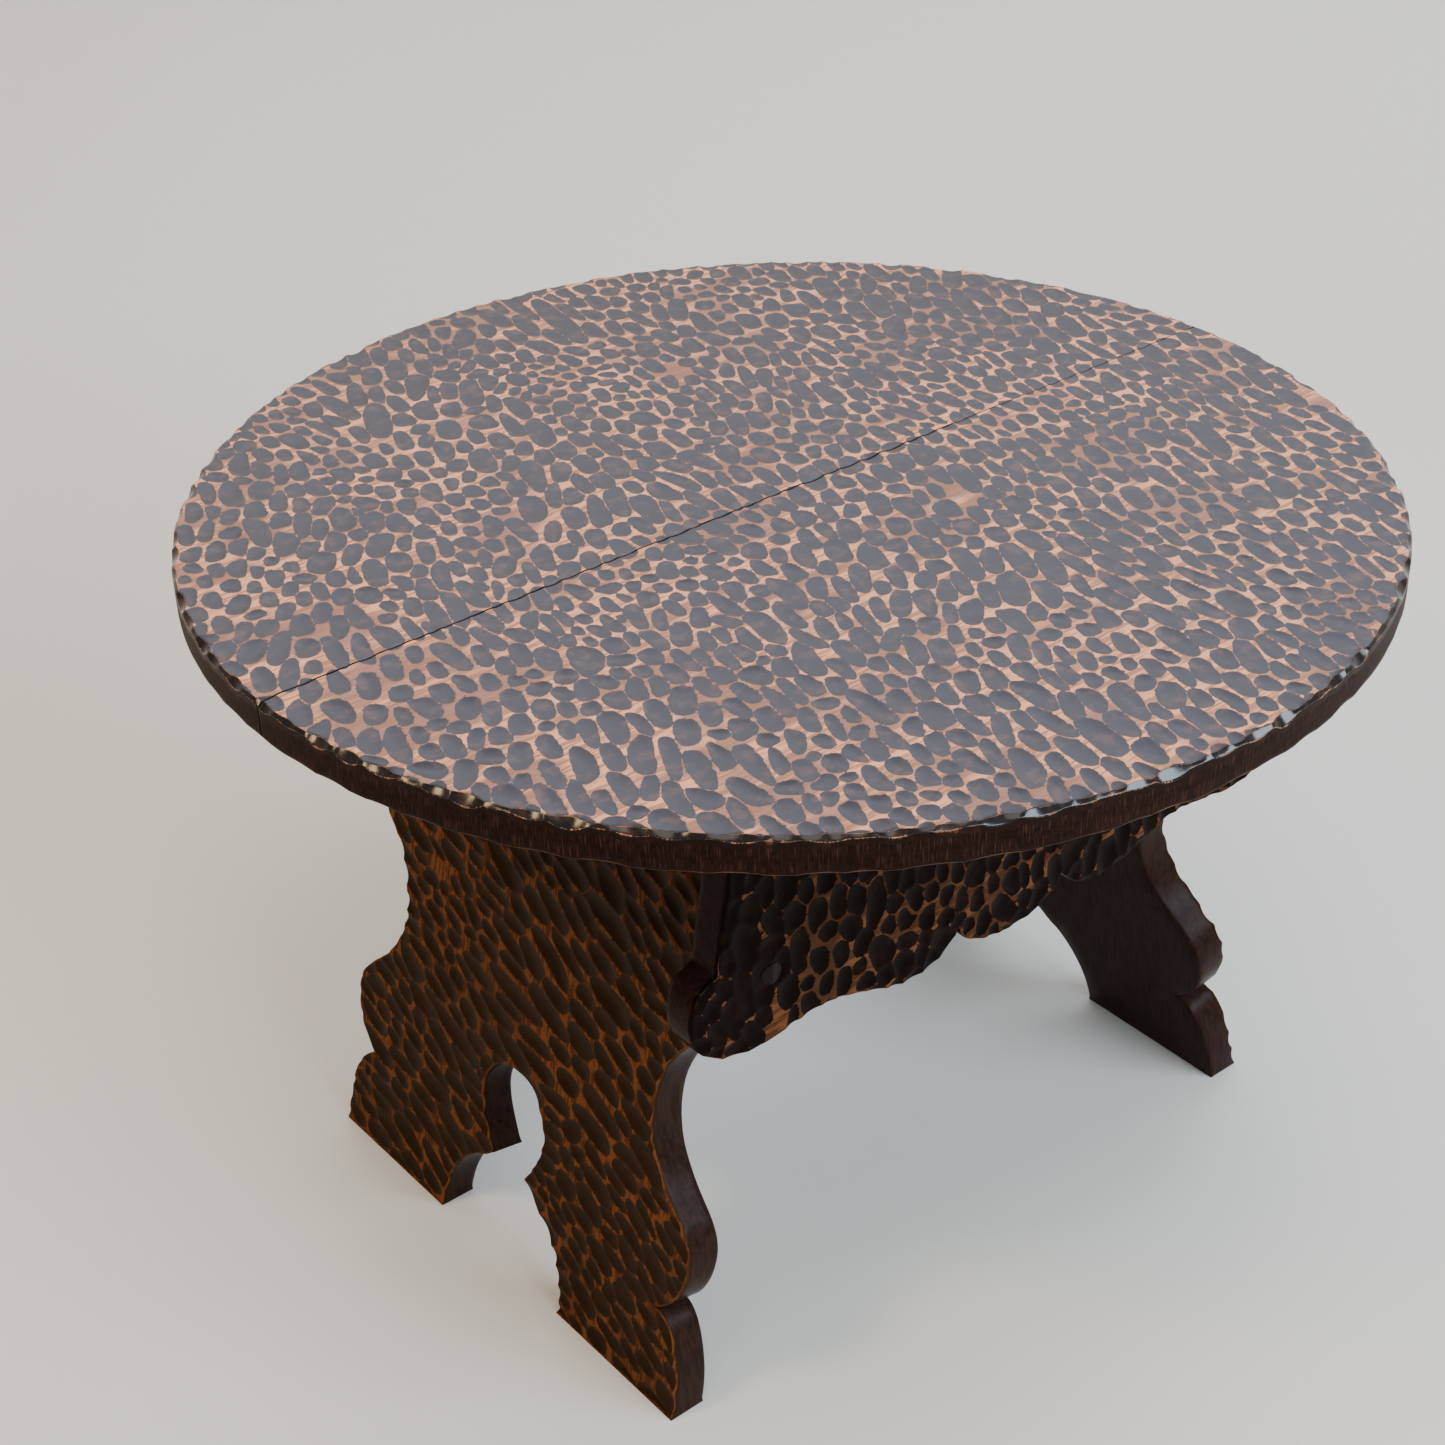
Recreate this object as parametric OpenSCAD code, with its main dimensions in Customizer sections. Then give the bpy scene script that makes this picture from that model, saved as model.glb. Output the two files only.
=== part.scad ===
// Low round table: a boarded top on splayed slab legs, joined by shaped aprons.
// Origin: centre of the footprint on the floor. +Z is up, +X runs from the left leg
// to the right leg along the seam of the top, and -Y is the front apron's side.

/* [Top] */
// Diameter of the round top
top_d = 570; // [540:5:640]
// Thickness of the top boards
top_t = 18; // [16:0.5:24]
// Height from the floor to the top's upper face
table_h = 366; // [350:1:390]
// Chamfer round both arrises of the rim
rim_chamfer = 1.5; // [0.5:0.5:3]

/* [Legs] */
// Thickness of each leg board
leg_t = 19; // [16:0.5:22]
// Lean of each leg from upright, in degrees
splay = 10.3; // [8:0.1:12]
// Distance from the centre to a leg's outer face at the floor
foot_reach = 197.5; // [190:0.5:205]
// Half width of a leg across its feet
foot_half = 141.5; // [138:0.5:146]
// Half width of a leg in the notch above the foot
notch_half = 119.5; // [114:0.5:124]
// Height of that notch, measured up the board
notch_h = 52; // [48:1:56]
// Half width of a leg across its side lobes
lobe_half = 138.5; // [134:0.5:142]
// Height of the widest part of the side lobe, up the board
lobe_h = 86; // [82:1:90]
// Half width of a leg at the waist
waist_half = 101.3; // [96:0.1:106]
// Height of the waist, up the board
waist_h = 152; // [148:1:156]
// Height at which the flare reaches the aprons, up the board
flare_h = 207; // [203:1:211]

/* [Arch between the feet] */
// Half width of the arch at the floor
arch_half = 50; // [46:0.5:54]
// Half width between the cusps
arch_neck = 13; // [10:0.5:16]
// Height of the cusps, up the board
arch_neck_h = 56; // [54:1:58]
// Half width of the rounded head of the arch
arch_head = 25.5; // [23:0.5:27]
// Height of the widest part of the head, up the board
arch_head_h = 86; // [83:1:89]
// Height of the arch, up the board
arch_h = 113; // [110:1:116]

/* [Aprons] */
// Thickness of each apron board
apron_t = 18; // [16:0.5:20]
// Distance from the centre to an apron's outer face
apron_reach = 157; // [153:0.5:161]
// How far an apron end stands past the leg's outer face
apron_overhang = 23; // [20:0.5:26]
// Height of the ledge over each end lobe
ledge_h = 258; // [255:1:262]
// Height of the cusps in the lower edge
cusp_h = 214.5; // [212:0.5:216]
// Distance from the centre to each cusp
cusp_x = 33; // [31:0.5:35]
// Height of the low point of the lobes
lobe_low_h = 200; // [198:0.5:202]

/* [Fixings] */
// Diameter of the screw plugs let into the aprons
plug_d = 12; // [10:0.5:13]
// Depth of the screw plugs
plug_depth = 6; // [4:0.5:7]
// Diameter of the screw shanks
screw_d = 4; // [3:0.5:5]
// Diameter of the screw heads
screw_head_d = 8; // [7:0.5:9]
// Height of the lower row of apron screws
screw_low_h = 245; // [240:1:250]
// Height of the upper row of apron screws
screw_high_h = 312; // [300:1:320]
// Diameter of the dowels in the top's seam
dowel_d = 8; // [6:1:10]
// Length of each dowel
dowel_length = 40; // [30:2:50]
// Distance between dowels
dowel_pitch = 180; // [150:5:210]

/* [Glue blocks] */
// Length of each glue block
block_length = 60; // [50:2:70]
// Depth and height of each glue block
block_w = 28; // [26:1:30]
// Distance from the centre to the blocks on the legs
leg_block_y = 62; // [56:1:80]
// Distance from the centre to the blocks on the aprons
apron_block_x = 55; // [50:1:60]

/* [Hidden] */
$fn = 96;
curve_steps = 9;
cut = 20;

dark_wood = [0.24, 0.13, 0.08];
top_wood = [0.36, 0.23, 0.16];
block_wood = [0.55, 0.40, 0.25];
steel = [0.55, 0.55, 0.57];

top_r = top_d / 2;
under_top = table_h - top_t;
lean = tan(splay);
apron_inner = apron_reach - apron_t;
leg_t_across = leg_t / cos(splay);
board_length = under_top / cos(splay) + cut;

head_depth = (screw_head_d - screw_d) / 2;
apron_screw_length = apron_t - plug_depth + 30;
block_screw_length = block_w + 10;
pilot_play = 0.5;

// Distance from the centre to a leg's outer face, its middle and its inner face at height z
function leg_outer(z) = foot_reach - z * lean;
function leg_middle(z) = leg_outer(z) - leg_t_across / 2;
function leg_inner(z) = leg_outer(z) - leg_t_across;

// Points along a cubic curve from a to d, without d itself
function curve(a, b, c, d) = [for (i = [0 : curve_steps - 1]) let (t = i / curve_steps, s = 1 - t)
    s * s * s * a + 3 * s * s * t * b + 3 * s * t * t * c + t * t * t * d];

// Points along an elliptical arc about a centre, from angle a0 up to but without a1
function arc(centre, rx, ry, a0, a1) = [for (i = [0 : curve_steps - 1])
    let (a = a0 + (a1 - a0) * i / curve_steps) [centre.x + rx * cos(a), centre.y + ry * sin(a)]];

// The same points mirrored to the other side, in reverse order
function mirrored(points) = [for (i = [len(points) - 1 : -1 : 0]) [-points[i].x, points[i].y]];

// One side of a leg from below the floor to above the top's underside
function leg_side() = concat(
    [[foot_half, -cut]],
    arc([notch_half, 8], foot_half - notch_half, notch_h - 8, 0, 90),
    curve([notch_half, notch_h], [notch_half + 9, notch_h + 4],
          [lobe_half, lobe_h - 18], [lobe_half, lobe_h]),
    curve([lobe_half, lobe_h], [lobe_half, lobe_h + 12],
          [lobe_half - 8, lobe_h + 18], [lobe_half - 17, lobe_h + 26]),
    curve([lobe_half - 17, lobe_h + 26], [lobe_half - 27, lobe_h + 35],
          [waist_half, waist_h - 18], [waist_half, waist_h]),
    curve([waist_half, waist_h], [waist_half, waist_h + 26],
          [waist_half + 17, flare_h - 8], [apron_inner, flare_h]),
    [[apron_inner, flare_h], [apron_inner, board_length]]);

// One side of the arch between the feet, from below the floor to the crown
function arch_side() = concat(
    [[arch_half, -cut]],
    arc([arch_neck, 0], arch_half - arch_neck, arch_neck_h - 6, 0, 84),
    curve([arch_neck, arch_neck_h], [arch_neck + 4, arch_neck_h + 8],
          [arch_head - 1, arch_head_h - 14], [arch_head, arch_head_h]),
    arc([0, arch_head_h], arch_head, arch_h - arch_head_h, 0, 90),
    [[0, arch_h]]);

// One half of an apron, from the middle of its lower edge to its top corner
function apron_side() = concat(
    arc([0, cusp_h], cusp_x, cusp_h - lobe_low_h + 1.5, 270, 360),
    curve([cusp_x, cusp_h], [cusp_x + 5, cusp_h - 8.5],
          [cusp_x + 15, lobe_low_h], [cusp_x + 27, lobe_low_h]),
    curve([cusp_x + 27, lobe_low_h], [cusp_x + 49, lobe_low_h],
          [cusp_x + 61, cusp_h - 1.5], [cusp_x + 83, cusp_h - 1.5]),
    curve([cusp_x + 83, cusp_h - 1.5], [cusp_x + 97, cusp_h - 1.5],
          [cusp_x + 107, cusp_h - 5], [cusp_x + 120, cusp_h - 5]),
    curve([cusp_x + 120, cusp_h - 5], [cusp_x + 137, cusp_h - 5],
          [end_x(ledge_h) + 14, ledge_h - 39], [end_x(ledge_h) + 14, ledge_h - 23]),
    curve([end_x(ledge_h) + 14, ledge_h - 23], [end_x(ledge_h) + 14, ledge_h - 14],
          [end_x(ledge_h) + 12, ledge_h - 8], [end_x(ledge_h) + 8, ledge_h - 4]),
    [[end_x(ledge_h) + 8, ledge_h - 4], [end_x(ledge_h), ledge_h], [end_x(under_top), under_top]]);

// Distance from the centre to an apron's end at height z, parallel to the leg
function end_x(z) = leg_outer(z) + apron_overhang;

// Half of the rim's profile, turned into a disc
module top_disc()
    translate([0, 0, under_top])
    rotate_extrude()
    polygon([[0, 0], [top_r - rim_chamfer, 0], [top_r, rim_chamfer],
             [top_r, top_t - rim_chamfer], [top_r - rim_chamfer, top_t], [0, top_t]]);

// A countersunk screw whose head is flush with z = 0 and whose shank points to +Z
module screw(length)
    union() {
        cylinder(h = head_depth, d1 = screw_head_d, d2 = screw_d);
        cylinder(h = length, d = screw_d);
    }

// Each place where an apron is screwed to a leg, looking inwards along +Z
module at_apron_screws()
    for (side_x = [-1, 1], side_y = [-1, 1], z = [screw_low_h, screw_high_h])
        translate([side_x * leg_middle(z), side_y * apron_reach, z])
        rotate([side_y * 90, 0, 0])
        children();

// Each place where a block is screwed to the top, looking upwards along +Z
module at_block_screws() {
    for (side_x = [-1, 1], side_y = [-1, 1]) {
        translate([side_x * (leg_inner(under_top) - block_w / 2), side_y * leg_block_y, under_top - block_w])
            children();
        translate([side_x * apron_block_x, side_y * (apron_inner - block_w / 2), under_top - block_w])
            children();
    }
}

// The row of dowels across the seam, each longer by play at both ends
module dowel_row(play)
    for (i = [-1 : 1])
        translate([i * dowel_pitch, 0, under_top + top_t / 2])
        rotate([90, 0, 0])
        cylinder(h = dowel_length + 2 * play, d = dowel_d, center = true);

// One board of the top; side is -1 for the front and 1 for the back
module top_board(side)
    color(top_wood)
    difference() {
        intersection() {
            top_disc();
            translate([-top_d, side < 0 ? -top_d : 0, 0]) cube([2 * top_d, top_d, 2 * table_h]);
        }
        dowel_row(1);
        at_block_screws() cylinder(h = block_screw_length + pilot_play, d = screw_d);
    }

module seam_dowels()
    color(block_wood) dowel_row(0);

// One leg; side is -1 for the left and 1 for the right
module leg(side)
    color(dark_wood)
    mirror([side < 0 ? 1 : 0, 0, 0])
    difference() {
        intersection() {
            translate([foot_reach, 0, 0])
                rotate([0, -splay, 0])
                translate([-leg_t, 0, 0])
                rotate([90, 0, 90])
                linear_extrude(leg_t)
                difference() {
                    polygon(concat(leg_side(), mirrored(leg_side())));
                    polygon(concat(arch_side(), mirrored(arch_side())));
                }
            translate([0, -top_r, 0]) cube([top_d, top_d, under_top]);
        }
        at_apron_screws() cylinder(h = plug_depth + apron_screw_length + pilot_play, d = screw_d);
    }

// One apron; side is -1 for the front and 1 for the back
module apron(side)
    color(dark_wood)
    difference() {
        translate([0, side < 0 ? -apron_inner : apron_reach, 0])
            rotate([90, 0, 0])
            linear_extrude(apron_t)
            polygon(concat(apron_side(), mirrored(apron_side())));
        at_apron_screws() {
            translate([0, 0, -1]) cylinder(h = plug_depth + 1, d = plug_d);
            translate([0, 0, plug_depth]) screw(apron_screw_length);
        }
    }

module apron_screws()
    color(steel)
    at_apron_screws()
    translate([0, 0, plug_depth])
    screw(apron_screw_length);

module apron_screw_plugs()
    color(dark_wood)
    at_apron_screws()
    cylinder(h = plug_depth, d = plug_d);

// A glue block between the top and a leg, bevelled to the leg's lean
module leg_block(side_x, side_y)
    color(block_wood)
    mirror([side_x < 0 ? 1 : 0, 0, 0])
    difference() {
        translate([0, side_y * leg_block_y + block_length / 2, 0])
            rotate([90, 0, 0])
            linear_extrude(block_length)
            polygon([[leg_inner(under_top) - block_w, under_top - block_w],
                     [leg_inner(under_top - block_w), under_top - block_w],
                     [leg_inner(under_top), under_top],
                     [leg_inner(under_top) - block_w, under_top]]);
        at_block_screws() screw(block_screw_length);
    }

// A glue block between the top and an apron
module apron_block(side_x, side_y)
    color(block_wood)
    difference() {
        translate([side_x * apron_block_x - block_length / 2,
                   side_y < 0 ? -apron_inner : apron_inner - block_w, under_top - block_w])
            cube([block_length, block_w, block_w]);
        at_block_screws() screw(block_screw_length);
    }

module block_screws()
    color(steel)
    at_block_screws()
    screw(block_screw_length);

top_board(-1);  // top_board_front
top_board(1);  // top_board_back
seam_dowels();
leg(-1);  // leg_left
leg(1);  // leg_right
apron(-1);  // apron_front
apron(1);  // apron_back
apron_screws();
apron_screw_plugs();
leg_block(-1, -1);  // leg_block_1
leg_block(-1, 1);  // leg_block_2
leg_block(1, -1);  // leg_block_3
leg_block(1, 1);  // leg_block_4
apron_block(-1, -1);  // apron_block_1
apron_block(1, -1);  // apron_block_2
apron_block(-1, 1);  // apron_block_3
apron_block(1, 1);  // apron_block_4
block_screws();
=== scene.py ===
"""Looks of the low round gouge-carved table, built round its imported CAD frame."""
import math

import bpy
import numpy as np
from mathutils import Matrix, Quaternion, Vector
from mathutils.geometry import delaunay_2d_cdt
from mathutils.kdtree import KDTree


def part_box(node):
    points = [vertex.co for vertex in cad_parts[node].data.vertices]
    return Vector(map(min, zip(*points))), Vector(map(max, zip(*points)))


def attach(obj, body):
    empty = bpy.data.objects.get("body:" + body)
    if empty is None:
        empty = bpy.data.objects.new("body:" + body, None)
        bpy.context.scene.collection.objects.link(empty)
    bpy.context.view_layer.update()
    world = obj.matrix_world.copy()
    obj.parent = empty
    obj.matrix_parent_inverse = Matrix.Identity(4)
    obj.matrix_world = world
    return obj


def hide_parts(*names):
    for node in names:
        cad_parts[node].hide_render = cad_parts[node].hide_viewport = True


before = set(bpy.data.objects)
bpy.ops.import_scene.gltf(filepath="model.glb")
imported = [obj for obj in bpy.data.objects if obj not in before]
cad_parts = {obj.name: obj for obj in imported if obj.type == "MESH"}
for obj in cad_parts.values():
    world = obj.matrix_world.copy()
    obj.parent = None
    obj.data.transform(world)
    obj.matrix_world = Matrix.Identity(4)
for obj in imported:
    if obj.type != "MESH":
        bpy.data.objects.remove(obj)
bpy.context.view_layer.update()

MM = 0.001
TAU = 2 * math.pi

# Spacing in millimetres: the mesh of the carved top, of the other carved boards and of plain faces,
# and the raster that the strokes are cut on
FINE = 1.34
LEG_FINE = 1.25
COARSE = 12.0
RASTER = 0.4

# The direction of the photograph's view, in degrees round the table from its front
VIEW_TURN = -38.6


# ---------------------------------------------------------------- camera and light

def aim(obj, place, target, roll=0.0):
    """Puts obj at place, looking at target, turned about its own line of sight by roll degrees."""
    obj.location = place
    look = (Vector(target) - Vector(place)).to_track_quat("-Z", "Y")
    obj.rotation_mode = "QUATERNION"
    obj.rotation_quaternion = look @ Quaternion((0, 0, 1), math.radians(roll))


def add_camera():
    """The camera at the photograph's angle."""
    data = bpy.data.cameras.new("camera")
    data.lens = 62.64
    data.sensor_width = 36.0
    data.clip_start = 0.05
    camera = bpy.data.objects.new("camera", data)
    bpy.context.scene.collection.objects.link(camera)
    aim(camera, (-0.6804, -0.8071, 0.9022), (0.0311, 0.0932, 0.18), roll=-1.71)
    bpy.context.scene.camera = camera


def add_area_light(name, place, size, power, colour):
    """A rectangular light that faces the middle of the table."""
    data = bpy.data.lights.new(name, "AREA")
    data.shape = "RECTANGLE"
    data.size, data.size_y = size
    data.energy = power
    data.color = colour
    light = bpy.data.objects.new(name, data)
    bpy.context.scene.collection.objects.link(light)
    aim(light, place, (0, 0, 0.3))


def add_lights():
    """A cool window in front, its glow behind, a warm overhead light and a low lamp at the left."""
    add_area_light("window", (0.62, -1.95, 1.55), size=(2.4, 0.6), power=76, colour=(0.74, 0.87, 1.0))
    add_area_light("wall_glow", (0.80, 1.01, 1.15), size=(2.2, 0.9), power=23, colour=(0.69, 0.79, 1.0))
    add_area_light("overhead", (-0.4, -0.6, 2.8), size=(1.8, 1.8), power=30, colour=(1.0, 0.91, 0.80))
    add_area_light("lamp", (-1.55, 0.40, 1.75), size=(0.5, 0.5), power=18, colour=(1.0, 0.72, 0.40))
    world = bpy.data.worlds.new("studio")
    bpy.context.scene.world = world
    world.use_nodes = True
    background = world.node_tree.nodes["Background"]
    background.inputs["Color"].default_value = (1.0, 0.93, 0.84, 1)
    background.inputs["Strength"].default_value = 0.30


def stage_material():
    """The pale matt floor and backdrop."""
    material = bpy.data.materials.new("stage")
    material.use_nodes = True
    shader = material.node_tree.nodes["Principled BSDF"]
    shader.inputs["Base Color"].default_value = (0.80, 0.77, 0.72, 1)
    shader.inputs["Roughness"].default_value = 0.6
    return material


def add_stage():
    """A pale floor that sweeps up into a backdrop behind the table, square to the camera's view."""
    across, near, far, bend, height, steps = 4.0, -3.5, 1.25, 0.35, 2.6, 16
    profile = [(near, 0.0)]
    for i in range(steps + 1):
        angle = math.pi / 2 * i / steps
        profile.append((far - bend + bend * math.sin(angle), bend - bend * math.cos(angle)))
    profile.append((far, height))
    verts = [(side * across, y, z) for y, z in profile for side in (-1, 1)]
    faces = [(2 * i, 2 * i + 1, 2 * i + 3, 2 * i + 2) for i in range(len(profile) - 1)]
    mesh = bpy.data.meshes.new("stage")
    mesh.from_pydata(verts, [], faces)
    mesh.shade_smooth()
    stage = bpy.data.objects.new("stage", mesh)
    stage.rotation_euler.z = math.radians(VIEW_TURN)
    bpy.context.scene.collection.objects.link(stage)
    mesh.materials.append(stage_material())


# ---------------------------------------------------------------- gouge work

# Height in millimetres that uncut land counts as when ridges are looked for
LAND_HEIGHT = 1.5

# Share of the strokes that the carver left out
MISSED = 0.003

# The outline of a stroke: 2 would be an ellipse, and more is squarer
SQUARENESS = 2.5

# Two strokes' centres are kept at least this share of touching distance apart
CROWDING = 0.80


class Drift:
    """A slow random wave over the plane, about -1 to 1, with features near the given size."""

    def __init__(self, rng, size, count=5):
        angles = rng.uniform(0, TAU, count)
        pitch = size * rng.uniform(0.7, 1.6, count)
        self.waves = np.c_[np.cos(angles), np.sin(angles)] * (TAU / pitch)[:, None]
        self.phases = rng.uniform(0, TAU, count)

    def __call__(self, points):
        return np.sin(np.asarray(points) @ self.waves.T + self.phases).mean(-1) * 1.6


class Carving:
    """A height field in millimetres, cut by one gouge stroke after another from a flat face.

    first is the surface, and second is what it would be without its deepest stroke."""

    def __init__(self, low, high):
        self.low = np.array(low, float) - 3
        shape = ((np.array(high) + 3 - self.low) / RASTER).astype(int) + 1
        self.first = np.zeros(shape[::-1], np.float32)
        self.second = np.full(shape[::-1], LAND_HEIGHT, np.float32)

    def cut(self, centre, half_length, half_width, angle, depth, skew, wobble):
        """One stroke, deeper towards one end by skew and uneven in outline by wobble."""
        reach = 1.7 * max(half_length, half_width)
        start = np.maximum(((centre - reach - self.low) / RASTER).astype(int), 0)
        stop = np.minimum(((centre + reach - self.low) / RASTER).astype(int) + 1, self.first.shape[::-1])
        if (stop <= start).any():
            return
        window = (slice(start[1], stop[1]), slice(start[0], stop[0]))
        x = self.low[0] + RASTER * np.arange(start[0], stop[0]) - centre[0]
        y = (self.low[1] + RASTER * np.arange(start[1], stop[1]) - centre[1])[:, None]
        along = (x * math.cos(angle) + y * math.sin(angle)) / half_length
        across = (y * math.cos(angle) - x * math.sin(angle)) / half_width
        turn = np.arctan2(across, along)
        uneven = 1 + wobble[0] * np.cos(2 * turn + wobble[1]) + wobble[0] * np.cos(3 * turn + wobble[2])
        radius = (np.abs(along) ** SQUARENESS + np.abs(across) ** SQUARENESS) ** (1 / SQUARENESS) * uneven
        height = depth * (radius ** 2 - 1) * (1 + skew * np.clip(along, -1, 1))
        first, second = self.first[window], self.second[window]
        self.second[window] = np.minimum(second, np.maximum(first, height))
        self.first[window] = np.minimum(first, height)

    def score_ring(self, centre, radius, depth):
        """A fine round groove, as left where a plug was let in and carved over."""
        x = self.low[0] + RASTER * np.arange(self.first.shape[1]) - centre[0]
        y = (self.low[1] + RASTER * np.arange(self.first.shape[0]) - centre[1])[:, None]
        groove = depth * np.clip(1 - np.abs(np.hypot(x, y) - radius) / 0.9, 0, 1)
        self.first -= groove
        self.second -= groove

    def finish(self):
        """Works out how far each point is from the nearest rim or ridge, and which way that lies."""
        gap = self.second - self.first
        slope_y, slope_x = np.gradient(gap, RASTER)
        steep = np.maximum(np.hypot(slope_x, slope_y), 0.05)
        self.away = np.stack([slope_x / steep, slope_y / steep], -1)
        self.edge = np.clip(gap / steep, 0, 4)

    def sample(self, field, points):
        """The value of a field at each point, read between the raster's own points."""
        place = (points - self.low) / RASTER
        limit = np.array(self.first.shape[::-1]) - 1.001
        place = np.clip(place, 0, limit)
        cell = place.astype(int)
        part = place - cell
        if field.ndim == 3:
            part = part[:, :, None]
        u, v = part[:, 0], part[:, 1]
        i, j = cell[:, 0], cell[:, 1]
        return ((field[j, i] * (1 - u) + field[j, i + 1] * u) * (1 - v)
                + (field[j + 1, i] * (1 - u) + field[j + 1, i + 1] * u) * v)

    def snap(self, points, spacing):
        """Moves the points that are close to a rim or ridge onto it, so that it stays crisp."""
        for _ in range(2):
            edge = self.sample(self.edge, points)
            away = self.sample(self.away, points)
            near = (edge < 0.52 * spacing)[:, None]
            points = points - np.where(near, edge[:, None] * away, 0)
        return points


def gouge_strokes(rng, low, high, width, stretch, angle, spread, tries):
    """Strokes packed side by side over the face, as rows of centre, half length, half width and angle."""
    low, high = np.array(low) - 8, np.array(high) + 8
    size_drift, stretch_drift, angle_drift = Drift(rng, 150), Drift(rng, 120), Drift(rng, 170)
    spots = rng.uniform(low, high, (tries, 2))
    half_width = width / 2 * (1 + 0.10 * size_drift(spots) + 0.13 * rng.standard_normal(tries).clip(-1.6, 2))
    long = stretch[0] + (stretch[1] - stretch[0]) * np.clip(0.5 + 0.5 * stretch_drift(spots), 0, 1)
    half_length = half_width * np.maximum(long * (1 + 0.22 * rng.standard_normal(tries)), 1.0)
    turn = angle + spread * (0.7 * angle_drift(spots) + 0.5 * rng.standard_normal(tries).clip(-2, 2))
    made = np.c_[spots, half_length, half_width, turn]
    kept = np.empty((0, 5))
    for stroke in made:
        near = kept[np.abs(kept[:, :2] - stroke[:2]).max(1) < 4 * width]
        if not len(near) or stroke_gap(stroke, near).min() > CROWDING:
            kept = np.vstack([kept, stroke])
    return settle(kept, low, high)


def stroke_gap(stroke, others):
    """Distance between stroke centres, as a share of the distance at which their edges would meet."""
    offset = others[:, :2] - stroke[:2]
    turn = (others[:, 4] + stroke[4]) / 2
    along = (offset[:, 0] * np.cos(turn) + offset[:, 1] * np.sin(turn)) / (others[:, 2] + stroke[2])
    across = (offset[:, 1] * np.cos(turn) - offset[:, 0] * np.sin(turn)) / (others[:, 3] + stroke[3])
    return np.hypot(along, across)


def settle(strokes, low, high, rounds=5, step=1.3):
    """Moves each stroke to the middle of the patch nearest to it, then fits it to that patch."""
    xs, ys = np.arange(low[0], high[0], step), np.arange(low[1], high[1], step)
    for _ in range(rounds):
        owner = nearest_stroke(strokes, xs, ys)
        rows, columns = np.nonzero(owner >= 0)
        who, x, y = owner[rows, columns], xs[columns], ys[rows]
        count = np.maximum(np.bincount(who, minlength=len(strokes)), 1)

        def mean(values):
            return np.bincount(who, values, len(strokes)) / count

        centre = np.c_[mean(x), mean(y)]
        strokes = np.c_[centre, strokes[:, 2:]]
    x, y = x - centre[who, 0], y - centre[who, 1]
    xx, yy, xy = mean(x * x), mean(y * y), mean(x * y)
    half_sum, half_gap = (xx + yy) / 2, np.hypot((xx - yy) / 2, xy)
    return np.c_[centre, 2 * np.sqrt(half_sum + half_gap), 2 * np.sqrt(np.maximum(half_sum - half_gap, 1)),
                 0.5 * np.arctan2(2 * xy, xx - yy)]


def nearest_stroke(strokes, xs, ys):
    """For each point of the raster, the number of the stroke whose ellipse it is nearest to."""
    best = np.full((len(ys), len(xs)), 6.0)
    owner = np.full(best.shape, -1)
    for k, (x, y, half_length, half_width, turn) in enumerate(strokes):
        reach = 2.2 * half_length
        left, right = np.searchsorted(xs, (x - reach, x + reach))
        lower, upper = np.searchsorted(ys, (y - reach, y + reach))
        dx, dy = xs[left:right] - x, (ys[lower:upper] - y)[:, None]
        along = (dx * math.cos(turn) + dy * math.sin(turn)) / half_length
        across = (dy * math.cos(turn) - dx * math.sin(turn)) / half_width
        distance = along ** 2 + across ** 2
        window = (slice(lower, upper), slice(left, right))
        won = distance < best[window]
        best[window][won] = distance[won]
        owner[window][won] = k
    return owner


# Radius in millimetres of the holes that the aprons' plugs fill
PLUG_HOLE = 6.0


def carve(seed, low, high, width, stretch, angle, spread, depth, tries, fill, plugs=()):
    """The finished height field of one face. fill scales every stroke against its share of the face."""
    rng = np.random.default_rng(seed)
    strokes = gouge_strokes(rng, low, high, width, stretch, math.radians(angle), math.radians(spread), tries)
    fullness = Drift(rng, 110)(strokes[:, :2])
    face = Carving(low, high)
    for (x, y, half_length, half_width, turn), full in zip(strokes, fullness):
        if rng.random() < MISSED:
            continue
        grown = fill * (1 + 0.05 * full + rng.uniform(-0.13, 0.10))
        cut_depth = depth * rng.uniform(0.75, 1.2) * half_width * 2 / width
        wobble = (rng.uniform(0.0, 0.10), rng.uniform(0, TAU), rng.uniform(0, TAU))
        face.cut(np.array([x, y]), half_length * grown, half_width * grown, turn, cut_depth,
                 rng.uniform(-0.25, 0.25), wobble)
    for centre in plugs:
        face.score_ring(centre, PLUG_HOLE, depth=0.7)
    face.finish()
    return face


# ---------------------------------------------------------------- outlines and meshing

class Place:
    """A board's own frame: u across it, v up it and w out of its carved face, in millimetres."""

    def __init__(self, origin, u, v):
        self.origin = np.array(origin, float)
        self.axes = np.array([u, v, np.cross(u, v)], float)

    def to_board(self, points):
        return (np.asarray(points) / MM - self.origin) @ self.axes.T

    def to_world(self, points):
        return (np.asarray(points) @ self.axes + self.origin) * MM


def face_outline(node, place):
    """The outer edge of a CAD node's face at w = 0, as an ordered ring of (u, v) points."""
    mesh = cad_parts[node].data
    points = place.to_board([v.co for v in mesh.vertices])
    edges = {}
    names = {}
    for polygon in mesh.polygons:
        corners = points[list(polygon.vertices)]
        if np.abs(corners[:, 2]).max() > 0.05:
            continue
        ring = [names.setdefault((round(u, 2), round(v, 2)), (u, v)) for u, v, _ in corners]
        for a, b in zip(ring, ring[1:] + ring[:1]):
            if edges.pop((b, a), None) is None:
                edges[(a, b)] = True
    following = {a: b for a, b in edges}
    rings = []
    while following:
        start, here = following.popitem()
        ring = [start]
        while here != start:
            ring.append(here)
            here = following.pop(here)
        rings.append(np.array(ring))
    return max(rings, key=lambda ring: np.ptp(ring[:, 0]) * np.ptp(ring[:, 1]))


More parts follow.
